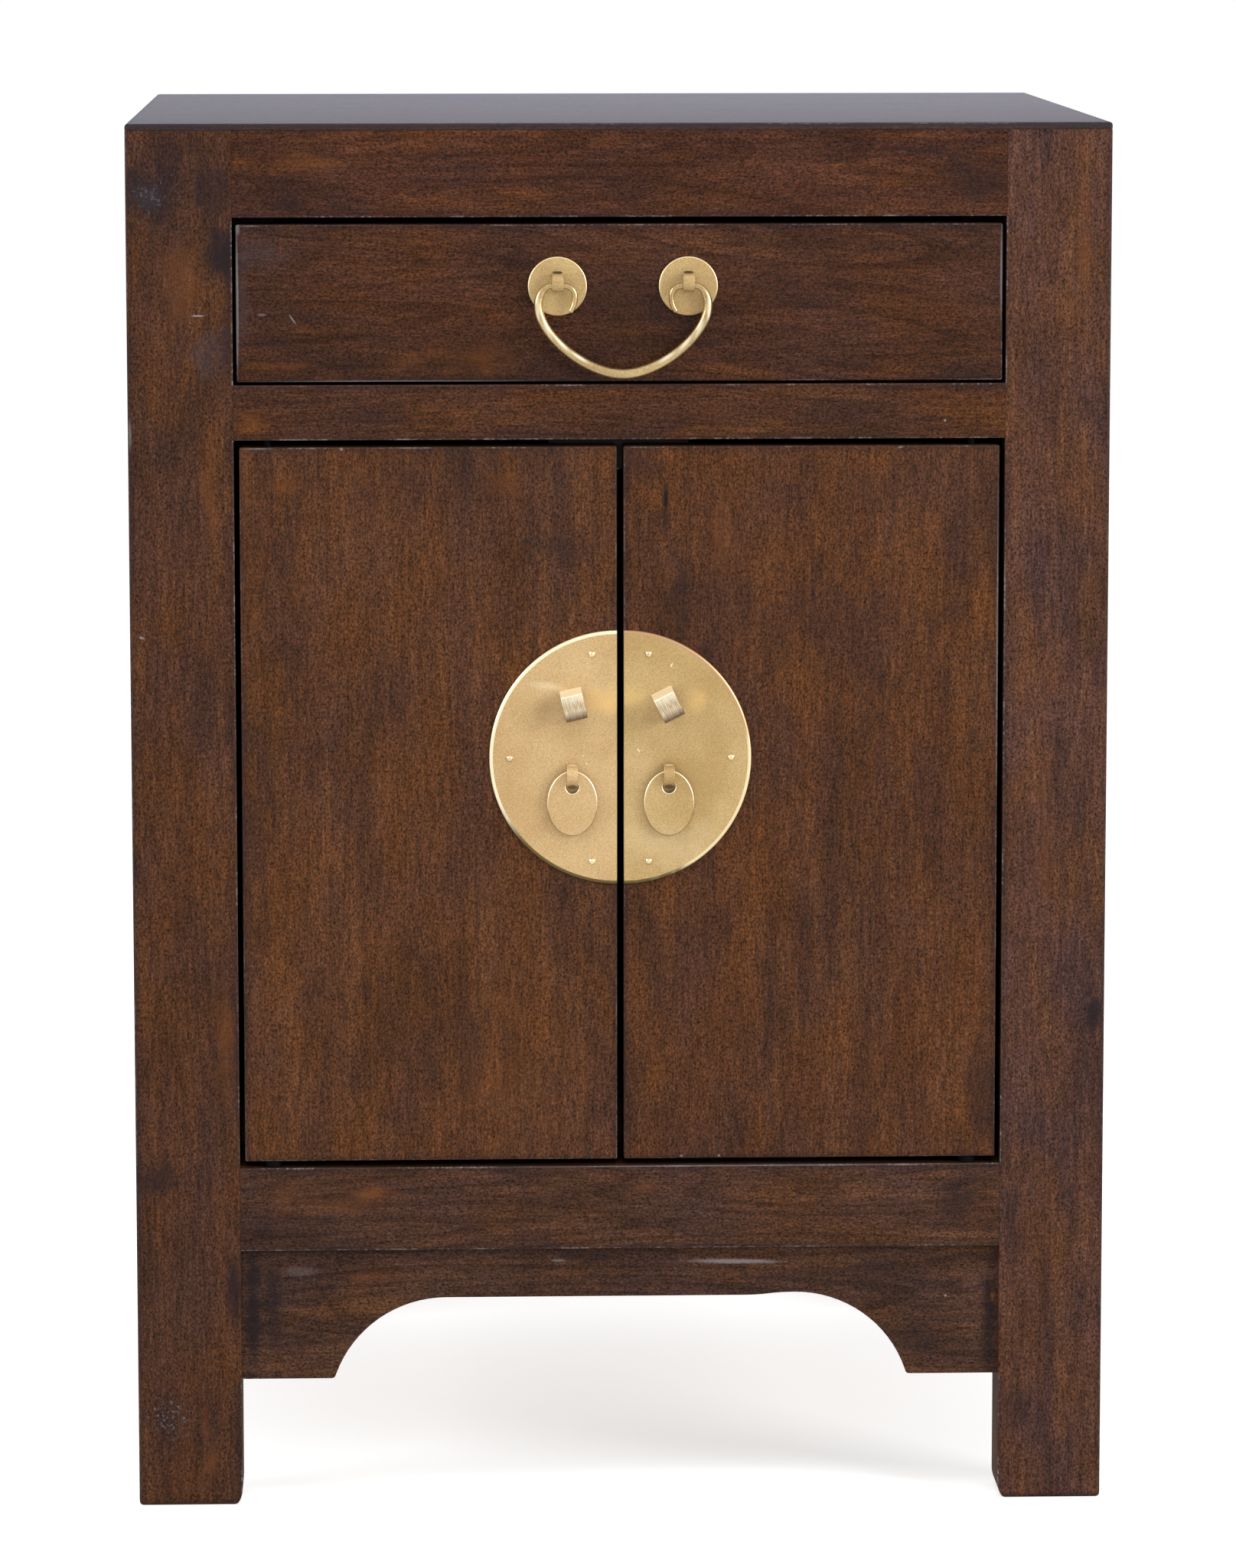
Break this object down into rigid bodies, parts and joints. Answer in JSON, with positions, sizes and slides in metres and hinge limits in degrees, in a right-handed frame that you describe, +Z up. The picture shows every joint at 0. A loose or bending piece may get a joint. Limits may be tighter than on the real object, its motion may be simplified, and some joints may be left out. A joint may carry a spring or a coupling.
{
  "type": "nightstand",
  "caption": "Stained wooden nightstand with a drawer on runners over a cupboard with pivoted doors, an arched apron, a round brass plate, lock staples, oval pulls and a hanging bail.",
  "frame": {"origin": "on the floor, under the centre of the whole object's box: midway across the front, and midway between the back face and the front of the lock staples", "axes": "+Z up, +Y from the front to the back, +X to the right as seen from the front"},
  "size_m": [0.42, 0.3945, 0.6],
  "materials": {
    "stained_wood": "dark walnut stain under a satin lacquer",
    "inside_wood": "plain planed hardwood and plywood",
    "satin_brass": "satin, bright where rubbed",
    "steel_fittings": "zinc plated",
    "catch_nylon": "dark moulded nylon"
  },
  "bodies": {
    "case": {"top_board": "stained_wood", "front_leg_left": "stained_wood", "front_leg_right": "stained_wood", "rear_leg_left": "stained_wood", "rear_leg_right": "stained_wood", "top_rail": "stained_wood", "mid_rail": "stained_wood", "bottom_rail": "stained_wood", "apron": "stained_wood", "side_top_rail_left": "stained_wood", "side_top_rail_right": "stained_wood", "side_bottom_rail_left": "stained_wood", "side_bottom_rail_right": "stained_wood", "side_panel_left": "stained_wood", "side_panel_right": "stained_wood", "back_top_rail": "stained_wood", "back_bottom_rail": "stained_wood", "back_panel": "inside_wood", "back_panel_screws": "steel_fittings", "floor_board": "inside_wood", "floor_cleats": "inside_wood", "divider_board": "inside_wood", "divider_cleats": "inside_wood", "drawer_runner_left": "inside_wood", "drawer_runner_right": "inside_wood", "drawer_kickers": "inside_wood", "drawer_stops": "inside_wood", "door_pivots_left": "steel_fittings", "door_pivots_right": "steel_fittings", "catch_housing": "catch_nylon", "catch_magnets": "steel_fittings", "catch_screws": "steel_fittings"},
    "drawer": {"drawer_front": "stained_wood", "drawer_side_left": "inside_wood", "drawer_side_right": "inside_wood", "drawer_back": "inside_wood", "drawer_bottom": "inside_wood", "rosette_left": "satin_brass", "rosette_right": "satin_brass", "bail_strap_left": "satin_brass", "bail_strap_right": "satin_brass"},
    "bail": {"drawer_bail": "satin_brass"},
    "left_door": {"door_left": "stained_wood", "round_plate_left": "satin_brass", "plate_nails_left": "satin_brass", "lock_staple_left": "satin_brass", "pull_strap_left": "satin_brass", "strike_left": "steel_fittings", "strike_screw_left": "steel_fittings"},
    "left_pull": {"oval_pull_left": "satin_brass"},
    "right_door": {"door_right": "stained_wood", "round_plate_right": "satin_brass", "plate_nails_right": "satin_brass", "lock_staple_right": "satin_brass", "pull_strap_right": "satin_brass", "strike_right": "steel_fittings", "strike_screw_right": "steel_fittings"},
    "right_pull": {"oval_pull_right": "satin_brass"}
  },
  "joints": [
    {"name": "drawer_slide", "type": "slide", "parent": "case", "child": "drawer", "axis": [0, -1, 0], "range_m": [0, 0.25]},
    {"name": "bail_swing", "type": "hinge", "parent": "drawer", "child": "bail", "pos_m": [0.0012, -0.18755, 0.5312], "axis": [-1, 0, 0], "range_deg": [0, 180]},
    {"name": "left_door_hinge", "type": "hinge", "parent": "case", "child": "left_door", "pos_m": [-0.1507, -0.17675, 0.3], "axis": [0, 0, -1], "range_deg": [0, 110]},
    {"name": "right_door_hinge", "type": "hinge", "parent": "case", "child": "right_door", "pos_m": [0.1507, -0.17675, 0.3], "axis": [0, 0, 1], "range_deg": [0, 110]},
    {"name": "left_pull_swing", "type": "hinge", "parent": "left_door", "child": "left_pull", "pos_m": [-0.0208, -0.18673, 0.3212], "axis": [-1, 0, 0], "range_deg": [0, 90]},
    {"name": "right_pull_swing", "type": "hinge", "parent": "right_door", "child": "right_pull", "pos_m": [0.0208, -0.18673, 0.3212], "axis": [-1, 0, 0], "range_deg": [0, 90]}
  ]
}
